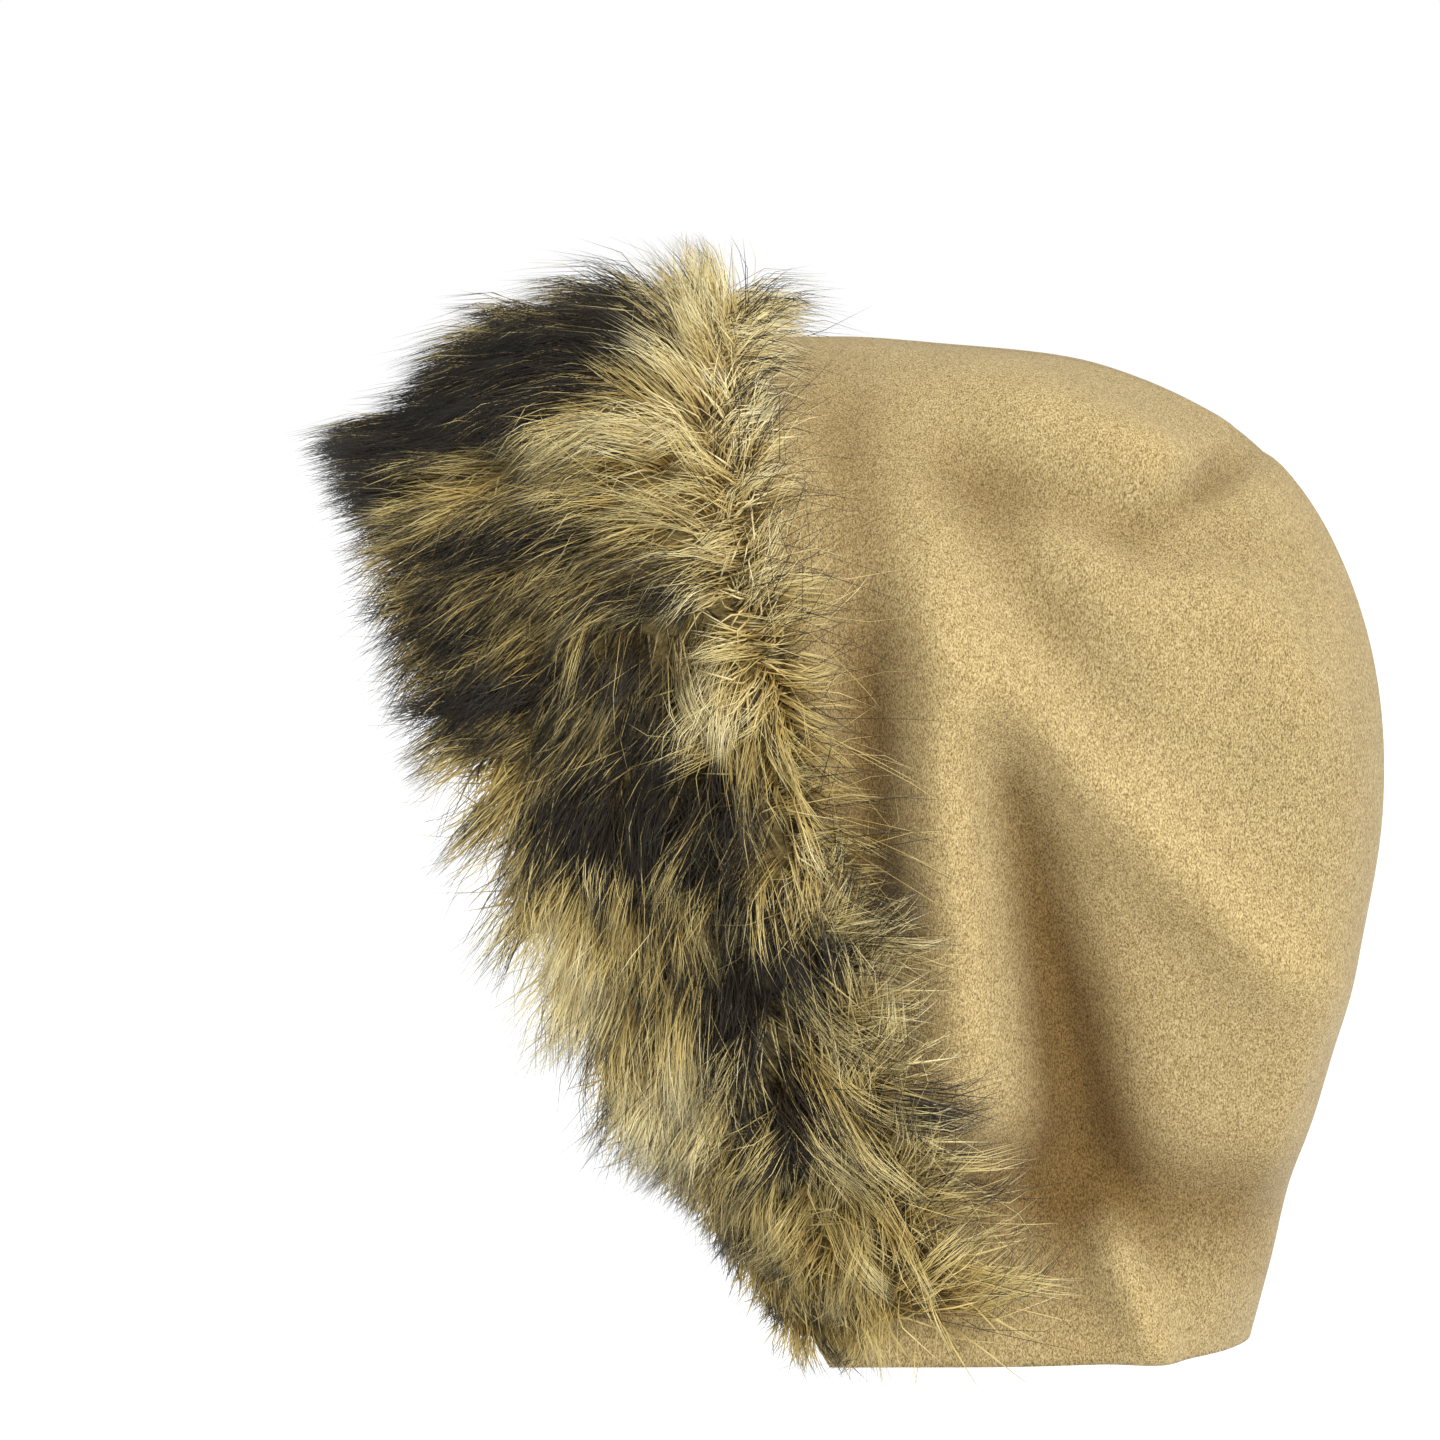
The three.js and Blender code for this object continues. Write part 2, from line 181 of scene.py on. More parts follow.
# Dark patches of the fur, as the camera sees them: centre, half length, half width, tilt and darkness
PATCHES = table(
    "y z long wide tilt dark",
    (-143, -12, 62, 17, 23, 1.15),
    (-190, -46, 20, 24, 0, 1.1),
    (-109, 27, 16, 11, 0, 1.2),
    (-130, -68, 34, 8, 14, 0.95),
    (-146, -92, 18, 6, 8, 0.85),
    (-100, -92, 24, 6, 10, 0.85),
    (-73, -90, 10, 9, 0, 0.75),
    (-128, -118, 34, 9, 12, 0.95),
    (-160, -104, 14, 9, 30, 0.9),
    (-150, -138, 12, 6, 30, 0.8),
    (-90, -163, 33, 22, 12, 1.5),
    (-48, -160, 6, 15, 0, 0.75),
    (-88, -114, 26, 20, 10, 0.64),
    (-94, -76, 20, 12, 12, 0.6),
    (-84, -138, 17, 12, 10, 0.72),
    (-58, -190, 13, 20, 0, 0.75),
    (-47, -220, 28, 14, 25, 1.6),
    (-56, -242, 14, 10, 20, 0.8),
    (-39, -268, 14, 22, 0, 1.15),
    (-62, -290, 8, 14, 0, 0.6),
    (27, -262, 25, 11, 0, 1.8),
    (24, -286, 22, 4, -6, 0.75),
    (-12, -262, 10, 5, 0, 0.6),
    (8, -236, 16, 5, 15, 0.6),
    (-4, -218, 16, 5, 10, 0.6),
)
# Where a patch fades out, as a square of shares of its half sizes, and how much lower it lies on the right
SPOT_EDGE = 1.6
RIGHT_SHIFT = 14
# Pale tufts, in the same way: partly the fur's own cream and partly painted highlight where the light from
# above falls on the fur
PALE_AND_HIGHLIT_TUFTS = table(
    "y z long wide tilt pale",
    (-66, -4, 34, 30, 0, 1.0),
    (-56, -84, 22, 18, 0, 0.8),
    (-58, -124, 18, 16, 0, 1.0),
    (-108, -30, 20, 6, 10, 0.8),
    (-122, -225, 20, 26, 0, 0.9),
    (-60, -50, 14, 30, 0, 0.6),
    (-6, -205, 10, 10, 0, 0.6),
    (-34, -180, 8, 18, 0, 0.7),
    (-84, -270, 18, 20, 0, 0.8),
)


def mix(a, b, t):
    """A value t of the way from a to b."""
    return a + (b - a) * t


def smooth(t):
    """An ease from 0 to 1."""
    t = np.clip(t, 0, 1)
    return t * t * (3 - 2 * t)


def between(rows, column, place):
    """The value of a column at a place down the front edge, easing from row to row."""
    steps = rows["down"]
    i = np.clip(np.searchsorted(steps, place), 1, len(steps) - 1)
    share = smooth((place - steps[i - 1]) / (steps[i] - steps[i - 1]))
    return mix(rows[column][i - 1], rows[column][i], share)


# Numbers with no pattern, which scatter mixes whole numbers by
MIXED_BY = (12.9898, 78.233, 37.719)
SPREAD_BY = 43758.5453


def scatter(*numbers):
    """Repeatable values from 0 to 1 for whole numbers, of which the last only tells one use from another."""
    mixed = sum(n * f for n, f in zip(numbers, MIXED_BY))
    return np.modf(np.abs(np.sin(mixed) * SPREAD_BY))[0]


def unit(vectors):
    return vectors / np.maximum(np.linalg.norm(vectors, axis=-1, keepdims=True), 1e-9)


def stack(x, y, z):
    return np.stack(np.broadcast_arrays(x, y, z), -1)


# The surface of the cloth

def rounded_line(y, z, steps=400):
    """Points on a smooth line through the rows, at even lengths."""
    knots = np.stack([y, z], -1)
    before = np.vstack([knots[:1], knots[:-1]])
    after = np.vstack([knots[1:], knots[-1:]])
    slopes = (after - before) / 2
    place = np.linspace(0, len(knots) - 1, steps * 5)
    i = np.minimum(place.astype(int), len(knots) - 2)
    t = (place - i)[:, None]
    a, b, va, vb = knots[i], knots[i + 1], slopes[i], slopes[i + 1]
    line = (2 * a - 2 * b + va + vb) * t**3 + (-3 * a + 3 * b - 2 * va - vb) * t**2 + va * t + a
    run = np.append(0, np.cumsum(np.linalg.norm(np.diff(line, axis=0), axis=1)))
    even = np.linspace(0, run[-1], steps)
    return np.interp(even, run, line[:, 0]), np.interp(even, run, line[:, 1])


SEAM_Y, SEAM_Z = rounded_line(SEAM_LINE["y"], SEAM_LINE["z"])


def back_round(u):
    """The share of the width that is left at u, as the cloth turns in towards the back seam."""
    return np.sqrt(np.maximum(0, 1 - u**BACK_ROUNDNESS))


def bare_cloth(u, v):
    """The outer surface of the left half without folds, at u from front to nape and v from seam to neck."""
    share = np.linspace(0, 1, len(SEAM_Y))
    top_y, top_z = np.interp(u, share, SEAM_Y), np.interp(u, share, SEAM_Z)
    reach_y, reach_z = mix(CHIN_Y, NAPE_Y, u) - top_y, NECK_Z - top_z
    length = np.hypot(reach_y, reach_z)
    reach_y, reach_z = reach_y / length, reach_z / length
    width = mix(HALF_WIDTH, NECK_HALF_WIDTH, u**NECK_TAPER) * back_round(u)
    depth = np.minimum(ROUND_DEPTH, ROUND_SHARE * length)
    arc = (math.pi / 2) * np.sqrt((width**2 + depth**2) / 2)
    turned = arc / (arc + length - depth)
    angle = np.clip(v / turned, 0, 1) * math.pi / 2
    t = np.clip((v - turned) / (1 - turned), 0, 1)
    round_part = v < turned
    along = np.where(round_part, depth * (1 - np.cos(angle)), mix(depth, length, t))
    x = np.where(round_part, width * np.sin(angle), mix(width, NECK_HALF_WIDTH * back_round(u), smooth(t)))
    part = along / length
    bow = FRONT_BOW * (1 - u) ** 2 * 4 * part * (1 - part)
    return stack(x, top_y + reach_y * along + reach_z * bow, top_z + reach_z * along - reach_y * bow)


def cloth_normal(u, v):
    """The way out of the cloth; where the two seams meet, it is taken a little ahead of their corner."""
    step = 0.004
    u = np.where((v == 0) & (u == 1), 1 - 2 * step, u)
    along_u = bare_cloth(np.minimum(1, u + step), v) - bare_cloth(np.maximum(0, u - step), v)
    along_v = bare_cloth(u, np.minimum(1, v + step)) - bare_cloth(u, np.maximum(0, v - step))
    normal = unit(np.cross(along_v, along_u))
    normal[..., 0] *= (v > 0) & (u < 1)
    normal[..., 2] *= v < 1
    return unit(normal)


def fold_height(folds, y, z):
    """The folds of a table added up at a place seen from the side."""
    height = 0
    for from_y, from_z, to_y, to_z, width, rise in zip(*folds.values()):
        run_y, run_z = to_y - from_y, to_z - from_z
        length = math.hypot(run_y, run_z)
        t = ((y - from_y) * run_y + (z - from_z) * run_z) / length**2
        across = ((y - from_y) * run_z - (z - from_z) * run_y) / length
        before, past = np.maximum(0, -t) * length, np.maximum(0, t - 1) * length
        ends = (before / (FOLD_ENDS["head"] * width)) ** 2 + (past / (FOLD_ENDS["foot"] * width)) ** 2
        height = height + rise * np.exp(-ends - (across / width) ** 2)
    return height


def seam_dip(u, x):
    """How far the cloth sinks beside the seam."""
    valley = SEAM_VALLEY
    grown = smooth((u - valley["from"]) / (valley["full"] - valley["from"]))
    grown = grown * smooth((1 - u) / (1 - valley["until"]))
    return -valley["depth"] * grown * np.exp(-((x / valley["width"]) ** 2))


def fold_rise(side, u, v, bare):
    """How far the folds lift the cloth, or sink it."""
    y, z = bare[..., 1], bare[..., 2]
    folds = np.where(side > 0, fold_height(LEFT_FOLDS, y, z), fold_height(RIGHT_FOLDS, y, z))
    hang = smooth(v / FOLD_FADE["seam"]) * smooth((1 - u) / FOLD_FADE["nape"])
    return hang * folds + seam_dip(u, bare[..., 0])


def cloth(side, u, v, lift):
    """Points of a panel lifted off its outer surface, and the way out of it; side is 1 on the left."""
    bare = bare_cloth(u, v)
    normal = cloth_normal(u, v)
    rise = fold_rise(side, u, v, bare) + lift
    mirror = stack(side, 1.0, 1.0)
    return (bare + normal * rise[..., None]) * mirror, normal * mirror


# The fur strip's own space: back from the front edge, along it from the crown, and up off the cloth

EDGE = bare_cloth(np.zeros(201), np.linspace(0, 1, 201))
EDGE_LENGTH = np.linalg.norm(np.diff(EDGE, axis=0), axis=1).sum()
REACH = STRIP_END * EDGE_LENGTH
# The steps back from the edge that show the cloth's pace and the way ahead of it, how much that way rises at
# the crown, and the way on past the neck edge
EDGE_STEPS = {"pace": 0.05, "ahead": 0.01}
FORWARD_RISE = 0.3
EDGE_END = unit(EDGE[-1] - EDGE[-2]) * (0, 1, 1)


def down_at(along):
    """The place down the front edge, from 0 at the crown seam to 1 at the neck edge."""
    return np.minimum(1, np.abs(along) / EDGE_LENGTH)


def on_strip(back, along, up):
    """Points for places in the strip's own space, which runs on past the front edge and the neck edge."""
    side = np.where(along < 0, -1.0, 1.0)
    v = down_at(along)
    past = np.maximum(0, np.abs(along) - EDGE_LENGTH)
    zero = np.zeros_like(v)
    first_step = bare_cloth(zero + EDGE_STEPS["pace"], v) - bare_cloth(zero, v)
    pace = np.linalg.norm(first_step, axis=-1) / EDGE_STEPS["pace"]
    points, normals = cloth(side, np.clip(back / pace, 0, 1), v, zero)
    ahead = unit(bare_cloth(zero, v) - bare_cloth(zero + EDGE_STEPS["ahead"], v))
    ahead[..., 2] += FORWARD_RISE * (1 - v) ** 2
    ahead = unit(ahead)
    ahead[..., 0] *= side
    points = points + ahead * np.maximum(0, -back)[..., None] + normals * up[..., None]
    return points + past[..., None] * EDGE_END


# Meshes

def finish_piece(piece, name, finish, node):
    """A piece named, finished and put in the place of its CAD node."""
    piece.name = name
    piece.data.name = name
    piece.data.materials.clear()
    piece.data.materials.append(finish)
    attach(piece, "root")
    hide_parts(node)
    return piece


def apply_modifier(piece, kind, **settings):
    """Give a piece a modifier and apply it."""
    bpy.ops.object.select_all(action="DESELECT")
    bpy.context.view_layer.objects.active = piece
    piece.select_set(True)
    modifier = piece.modifiers.new(kind.lower(), kind)
    for key, value in settings.items():
        setattr(modifier, key, value)
    bpy.ops.object.modifier_apply(modifier=modifier.name)


# Shader maths

class Value:
    """A socket whose operators add Math nodes."""

    def __init__(self, nodes, socket):
        self.nodes = nodes
        self.socket = socket

    def math(self, operation, *others):
        return self.nodes.node("ShaderNodeMath", {"operation": operation}, dict(enumerate((self, *others))))

    def __add__(self, other):
        return self.math("ADD", other)

    def __mul__(self, other):
        return self.math("MULTIPLY", other)

    def __sub__(self, other):
        return self.math("SUBTRACT", other)

    def __rsub__(self, other):
        return self.nodes.node("ShaderNodeMath", {"operation": "SUBTRACT"}, {0: other, 1: self})


class Finish:
    """A material being built: node adds one node and gives the socket asked for."""

    def __init__(self, name):
        self.material = bpy.data.materials.new(name)
        self.material.use_nodes = True
        self.tree = self.material.node_tree
        self.shader = self.tree.nodes["Principled BSDF"]

    def node(self, kind, settings=None, inputs=None, out=0):
        made = self.tree.nodes.new(kind)
        for key, value in (settings or {}).items():
            if key == "stops":
                self.set_stops(made.color_ramp, value)
            else:
                setattr(made, key, value)
        for key, value in (inputs or {}).items():
            self.feed(made.inputs[key], value)
        return Value(self, made.outputs[out])

    def set_stops(self, ramp, stops):
        while len(ramp.elements) < len(stops):
            ramp.elements.new(0.5)
        for element, (place, colour) in zip(ramp.elements, stops):
            element.position = place
            element.color = (*colour, 1)

    def feed(self, socket, value):
        if isinstance(value, Value):
            self.tree.links.new(value.socket, socket)
        else:
            socket.default_value = value

    def set(self, **inputs):
        for key, value in inputs.items():
            self.feed(self.shader.inputs[key.replace("_", " ")], value)

    def noise(self, scale, detail, roughness, stretch=(1, 1, 1)):
        """Noise over the object's own coordinates, stretched."""
        where = self.node("ShaderNodeTexCoord", out="Object")
        vector = self.node("ShaderNodeMapping", {}, {"Vector": where, "Scale": stretch})
        inputs = {"Vector": vector, "Scale": scale, "Detail": detail, "Roughness": roughness}
        return self.node("ShaderNodeTexNoise", {}, inputs)

    def attribute(self, name):
        return self.node("ShaderNodeAttribute", {"attribute_name": name}, out="Fac")

    def ramp(self, value, *stops):
        return self.node("ShaderNodeValToRGB", {"stops": stops}, {"Fac": value})

    def span(self, value, low, high):
        """How far a value is from low to high, easing from 0 to 1."""
        inputs = {"Value": value, "From Min": low, "From Max": high}
        return self.node("ShaderNodeMapRange", {"interpolation_type": "SMOOTHSTEP"}, inputs)

    def blend(self, share, first, second, way="MIX"):
        settings = {"data_type": "RGBA", "blend_type": way}
        return self.node("ShaderNodeMix", settings, {0: share, 6: first, 7: second}, out=2)

    def bump(self, height, distance, strength):
        inputs = {"Height": height, "Distance": distance, "Strength": strength}
        return self.node("ShaderNodeBump", {}, inputs)


def brushed_fleece():
    """Camel fleece: a fine nap of pale and dark flecks, a little taller than wide, with painted shade in the
    fold valleys and along the seam, and painted highlight on the ridges.
    """
    fleece = Finish("brushed_fleece")
    flecks = fleece.noise(1900, 2.5, 0.62, stretch=(1, 1, 0.55))
    fine = fleece.noise(3600, 1.0, 0.5, stretch=(1, 1, 0.6))
    clumps = fleece.noise(520, 2.0, 0.5, stretch=(1, 1, 0.6))
    patches = fleece.noise(45, 3.0, 0.6)
    nap = flecks * 0.62 + fine * 0.28 + clumps * 0.10
    colour = fleece.ramp(
        fleece.span(nap, 0.35, 0.65),
        (0.0, (0.150, 0.098, 0.040)),
        (0.35, (0.335, 0.242, 0.103)),
        (0.65, (0.438, 0.331, 0.152)),
        (1.0, (0.600, 0.480, 0.26)),
    )
    worn = fleece.ramp(fleece.span(patches, 0.3, 0.7), (0.0, (0.93, 0.92, 0.90)), (1.0, (1.0, 1.0, 1.0)))
    # Painted shade darkens the fold valleys and the seam valley, and painted highlight lightens the ridges,
    # by the stored fold heights
    painted_fold_tint = fleece.ramp(
        fleece.attribute("hollow"),
        (0.0, (0.40, 0.32, 0.22)),
        (0.5, (1.0, 1.0, 1.0)),
        (1.0, (1.18, 1.18, 1.16)),
    )
    coloured = fleece.blend(1.0, colour, worn, "MULTIPLY")
    fleece.set(
        Base_Color=fleece.blend(1.0, coloured, painted_fold_tint, "MULTIPLY"),
        Roughness=0.95,
        Specular_IOR_Level=0.12,
        Sheen_Weight=0.12,
        Sheen_Roughness=0.5,
        Normal=fleece.bump(nap, 0.0006, 0.55),
    )
    return fleece.material


def hair_finish(name):
    """Hair from a warm root through straw to a pale tip, or to black over the part that is dark."""
    hair = Finish(name)
    place = hair.attribute("tip")
    dark = hair.attribute("dark")
    tone = hair.attribute("tone")
    straw = hair.ramp(
        place,
        (0.0, (0.34, 0.195, 0.055)),
        (0.3, (0.62, 0.445, 0.140)),
        (0.65, (0.83, 0.67, 0.27)),
        (1.0, (0.92, 0.79, 0.41)),
    )
    sooty = hair.ramp(
        place,
        (0.0, (0.08, 0.05, 0.02)),
        (0.5, (0.034, 0.026, 0.016)),
        (1.0, (0.026, 0.024, 0.021)),
    )
    # The tone's ramp: darker and paler hair, and at its top the pale tufts, which are partly painted
    # highlight
    shade = hair.ramp(
        tone,
        (0.0, (0.46, 0.42, 0.34)),
        (0.45, (0.84, 0.82, 0.76)),
        (1.0, (1.17, 1.27, 1.72)),
    )
    tipped = hair.span(place - (1.0 - dark), -0.08, 0.16)
    patched = hair.span(hair.attribute("soot"), 0.30, 0.62)
    share = tipped.math("MAXIMUM", patched)
    toned = hair.blend(1.0, straw, shade, "MULTIPLY")
    hair.set(
        Base_Color=hair.blend(share, toned, sooty),
        Roughness=0.5,
        Specular_IOR_Level=0.28,
    )
    return hair.material


def matted_bed():
    """The felted underfur between the roots: warm, dark and streaked across the strip."""
    bed = Finish("matted_underfur")
    streaks = bed.noise(260, 4.0, 0.7, stretch=(1, 0.35, 1))
    colour = bed.ramp(
        bed.span(streaks, 0.3, 0.7),
        (0.0, (0.09, 0.062, 0.022)),
        (0.5, (0.20, 0.148, 0.055)),
        (1.0, (0.34, 0.26, 0.105)),
    )
    bed.set(Base_Color=colour, Roughness=0.9, Specular_IOR_Level=0.1, Normal=bed.bump(streaks, 0.002, 0.8))
    return bed.material


# The two fleece panels

# The grid's faces, and the lift from the deepest painted shade of a fold to its palest painted highlight on a
# ridge
PANEL_GRID = {"along": 124, "down": 96}
PAINTED_FOLD_SPAN = 26


def fleece_panel(name, node, side, finish):
    """A grid of cloth, laid on the surface vertex by vertex and given its wall."""
    bpy.ops.object.select_all(action="DESELECT")
    bpy.ops.mesh.primitive_grid_add(
        x_subdivisions=PANEL_GRID["along"], y_subdivisions=PANEL_GRID["down"], size=2, calc_uvs=True
    )
    panel = bpy.context.object
    count = len(panel.data.vertices)
    flat = np.empty(count * 3)
    panel.data.vertices.foreach_get("co", flat)
    flat = flat.reshape(-1, 3)
    u, v = np.clip((flat[:, 0] + 1) / 2, 0, 1), np.clip((1 - flat[:, 1]) / 2, 0, 1)
    u, v = np.round(u, 6), np.round(v, 6)
    roll = SEAM_ROLL
    near_crown = np.exp(-((v * roll["down"] / roll["width"]) ** 2))
    near_back = np.exp(-(((1 - u) * roll["along"] / roll["width"]) ** 2))
    rolled = -roll["depth"] * np.maximum(near_crown, near_back)
    walls = []
    for lift in (0, -WALL):
        points, _ = cloth(np.full(count, float(side)), u, v, rolled + lift)
        points[(v == 0) | (u == 1), 0] = -side * SEAM_LAP
        points[v == 1, 2] = NECK_Z
        walls.append(points)
    panel.data.vertices.foreach_set("co", (walls[0] * MM).ravel())
    if side < 0:
        panel.data.flip_normals()
    panel.data.update()
    # The fold heights are stored on the points for the painted shade of the valleys and the painted highlight
    # of the ridges
    rise = fold_rise(float(side), u, v, bare_cloth(u, v))
    hollow = panel.data.attributes.new("hollow", "FLOAT", "POINT")
    hollow.data.foreach_set("value", np.clip(0.5 + rise / PAINTED_FOLD_SPAN, 0, 1))
    apply_modifier(panel, "SOLIDIFY", thickness=WALL * MM, offset=-1)
    panel.data.vertices.foreach_set("co", (np.vstack(walls) * MM).ravel())
    panel.data.update()
    panel.data.shade_smooth()
    return finish_piece(panel, name, finish, node)


# The fur

# The spacing of the tufts, and of the locks that they lie in
HAIR_GRID = {"tuft": 9.0, "lock": 26.0}
GRID_JITTER = (0.1, 0.9)
# Steps that spread roots evenly over an area, where each coat starts in them, and how far ahead of the cloth
# the first roots sit
EVEN_STEPS = {"back": 0.5698402910, "along": 0.7548776662, "coat": 20000}
OVERHANG = 3
# The coats of hair. unruly and curl are the spread of a hair's turn and of its bend, in degrees; gather and
# lock say how far its tip is drawn to its tuft and to its lock; cross is how far it strays over the parting;
# strays is the share that is hardly gathered, and facing the share that grows inside; dark is how long the
# dark tips are, sooty the share that is dark nearly to the root, and guard is 1 for the long hair on top.
HAIR_KINDS = {
    "fur_wool": dict(
        seed=1, count=17000, rings=2, width=0.98, length=0.70, pitch=0.82, unruly=20, curl=16,
        gather=0.15, lock=0.05, cross=9, strays=0.2, facing=0.16, dark=0.4, sooty=0.0, guard=0.0,
    ),
    "fur_pile_a": dict(
        seed=2, count=12300, rings=3, width=0.47, length=0.9, pitch=0.95, unruly=7, curl=14,
        gather=0.66, lock=0.25, cross=6, strays=0.12, facing=0.12, dark=0.9, sooty=0.05, guard=0.0,
    ),
    "fur_pile_b": dict(
        seed=3, count=12300, rings=3, width=0.38, length=1.0, pitch=1.0, unruly=8, curl=16,
        gather=0.7, lock=0.25, cross=5, strays=0.15, facing=0.08, dark=1.0, sooty=0.12, guard=0.0,
    ),
    "fur_pile_c": dict(
        seed=5, count=7200, rings=3, width=0.33, length=1.04, pitch=1.06, unruly=10, curl=20,
        gather=0.6, lock=0.25, cross=5, strays=0.2, facing=0.06, dark=0.8, sooty=0.1, guard=0.0,
    ),
    "fur_guard": dict(
        seed=4, count=12300, rings=3, width=0.26, length=1.14, pitch=1.08, unruly=13, curl=34,
        gather=0.5, lock=0.25, cross=4, strays=0.4, facing=0.05, dark=1.3, sooty=0.42, guard=1.0,
    ),
}
# The angle at which the hair leaves the cloth, in degrees, and the angle of its tip
PITCH = {"part": 62, "pile": 57, "facing": 24}
PITCH_AT_TIP = {"pile": 0, "fringe": -22, "facing": -6}
# No hair is straighter than this many degrees from root to tip
STRAIGHTEST = 4
# The parting: how wide its upright hair spreads, how far the tufts mix across it, how it wanders along the
# strip, how its hair sways by its own pitch, how much of this the fringe takes, and how it is trimmed
PART_SPREAD = 13
PART_MIX = 17
PART_WANDER = {"by": 5, "short": 13, "long": 31}
PART_SWAY = {"root": 46, "even": 0.88, "tip": 1.4, "stand": 0.4}
PART_LIFT_BACK = {"root": 0.75, "tip": 0.12}
PART_TRIM = {"by": 0.22, "stand": 60}
# Over the crown the hair crosses the parting more, stands up in a crest, and lies lower ahead of it
CROWN_MIX = {"more": 1.6, "along": 48}
CREST = {"back": 58, "spread": 15, "along": 38, "lift": 22}
BROW = {"back": 42, "fade": 16, "along": 70, "lower": 0.27}
# How a hair's lean grows from root to tip, and where along it the lean is the table's own
LEAN_GROWTH = {"by": 0.35, "middle": 0.45}
# How far guard hair goes past the rest, the shortest a hair is cut to, how ragged the cut is, and how far
# past the strip's end it may hang
GUARD_REACH = 5
SHORTEST = 14
RAGGED = {"front": 0.84, "hem": 0.75}
HEM_CLEAR = 9
# Floors that keep a division from running away
LEAST = {"run": 0.3, "across": 0.35, "down": 0.1}
# The roots lie just off the cloth, and the hair of the facing stays flatter
ROOT_LIFT = 1
FACING_RISE = 0.7
# How far the hair may go to the sides, up and down before its tips are pressed in
LIMITS = {"x": 138, "up": 35, "down": -346}
PRESSED = 0.3
# Spans that tufts and single hairs are drawn from; turn and bend go from the open strip to the parting
TUFT = {
    "turn": (25, 90), "bend": (46, 110), "length": (0.78, 1.12), "pitch": (0.8, 1.15),
    "lock_pitch": (0.82, 1.08),
}
LOCK_TURN = {"own": 26, "wander": 10, "spacing": 30}
AT_PART = 20
HAIR = {"pitch": (0.75, 1.15), "nose_pitch": (-0.7, 0.9), "length": (0.72, 1.08), "width": (0.75, 1.25)}
NOSE = {"back": 9, "share": 0.75}
LOOSE_GUARD = 1.2
STRAY_GATHER = 0.1
GATHER_EASE = {"tuft": 1.3, "lock": 1.6}
WAVE = {"height": 1.2, "pace": 5.2, "own": 0.7, "shifts": (0.0, 1.3, 2.9)}
TAPER = {"place": (0, 0.35, 0.75, 1), "width": (0.8, 1.0, 0.62, 0.0)}
CROSS_SLANT = 0.35
# How ragged the edges of the patches are, for a tuft and for a hair, and how even their darkness is
PATCH_EDGE = {"y": (20, 3.5), "z": (13, 3)}
SOOT = {"tuft": (0.85, 1.1), "own": (0.75, 1.05), "pale_hairs": 0.09, "pale": 0.35}
DARK_TIPS = {
    "pile": (0.08, 0.44), "rise": 1.4, "facing": 0.25, "tuft": (0.2, 1.5), "own": (0.6, 1.2),
    "less_pale": 0.7,
}
SOOTY_HAIRS = {"less_down": 0.55, "fringe": 1.9, "less_pale": 0.85, "from": 0.45}
TONE = {
    "middle": 0.36, "wander": 0.16, "spacing": 22, "tuft": 0.16, "own": 0.13, "pale": 0.55,
    "fringe": 0.12, "low": 0.10, "low_from": 0.5, "low_fade": 0.3,
}


def roots(count, skip):
    """Even but irregular root places over the strip, as shares of its width and lengths along it."""
    index = np.arange(skip, skip + count)
    steps = np.linspace(-REACH, REACH, 801)
    weight = np.cumsum(between(STRIP, "width", down_at(steps)))
    weight = (weight - weight[0]) / (weight[-1] - weight[0])
    along = np.interp(np.modf(index * EVEN_STEPS["along"])[0], weight, steps)
    return np.modf(index * EVEN_STEPS["back"])[0], along


def centres(back, along, spacing):
    """The nearest centre of a jittered grid, and its whole-number place."""
    best = np.full(back.shape, 1e9)
    found = [np.zeros_like(back) for _ in range(4)]
    for di in (-1, 0, 1):
        for dj in (-1, 0, 1):
            i, j = np.floor(back / spacing) + di, np.floor(along / spacing) + dj
            near_back = (i + mix(*GRID_JITTER, scatter(i, j, 1))) * spacing
            near_along = (j + mix(*GRID_JITTER, scatter(i, j, 2))) * spacing
            away = (near_back - back) ** 2 + (near_along - along) ** 2
            nearer = away < best
            best = np.where(nearer, away, best)
            for column, value in zip(found, (near_back, near_along, i, j)):
                column[nearer] = value[nearer]
    return found


def wander(back, along, spacing, kind):
    """A slow change over the strip, from -1 to 1."""
    a = np.sin(back / spacing + 1.7 * kind) * np.cos(along / (0.8 * spacing) + 2.9 * kind)
    b = np.sin(along / (1.7 * spacing) - back / (1.3 * spacing) + 4.1 * kind)
    return 0.5 * (a + b)


def parting(along):
    """How far back the hair parts."""
    down = down_at(along)
    part = between(STRIP, "part", down) * between(STRIP, "width", down)
    swing = np.sin(along / PART_WANDER["short"]) * np.cos(along / PART_WANDER["long"] + 1)
    return part + PART_WANDER["by"] * swing


def upright_share(back, along):
    """How much a hair belongs to the parting, from 1 on it to 0 well away."""
    return np.exp(-(((back - parting(along)) / PART_SPREAD) ** 2))


def hair_lean(back, along, turn, combed_back, faces_in):
    """How far each hair leans from straight across the strip, in degrees."""
    down = down_at(along)
    share = np.clip(back / parting(along), 0, 1)
    front = between(LEAN, "front", down)
    forward = np.where(faces_in, front, mix(front, between(LEAN, "part", down), share))
    return np.where(combed_back, between(FRINGE, "lean", down), forward) + turn


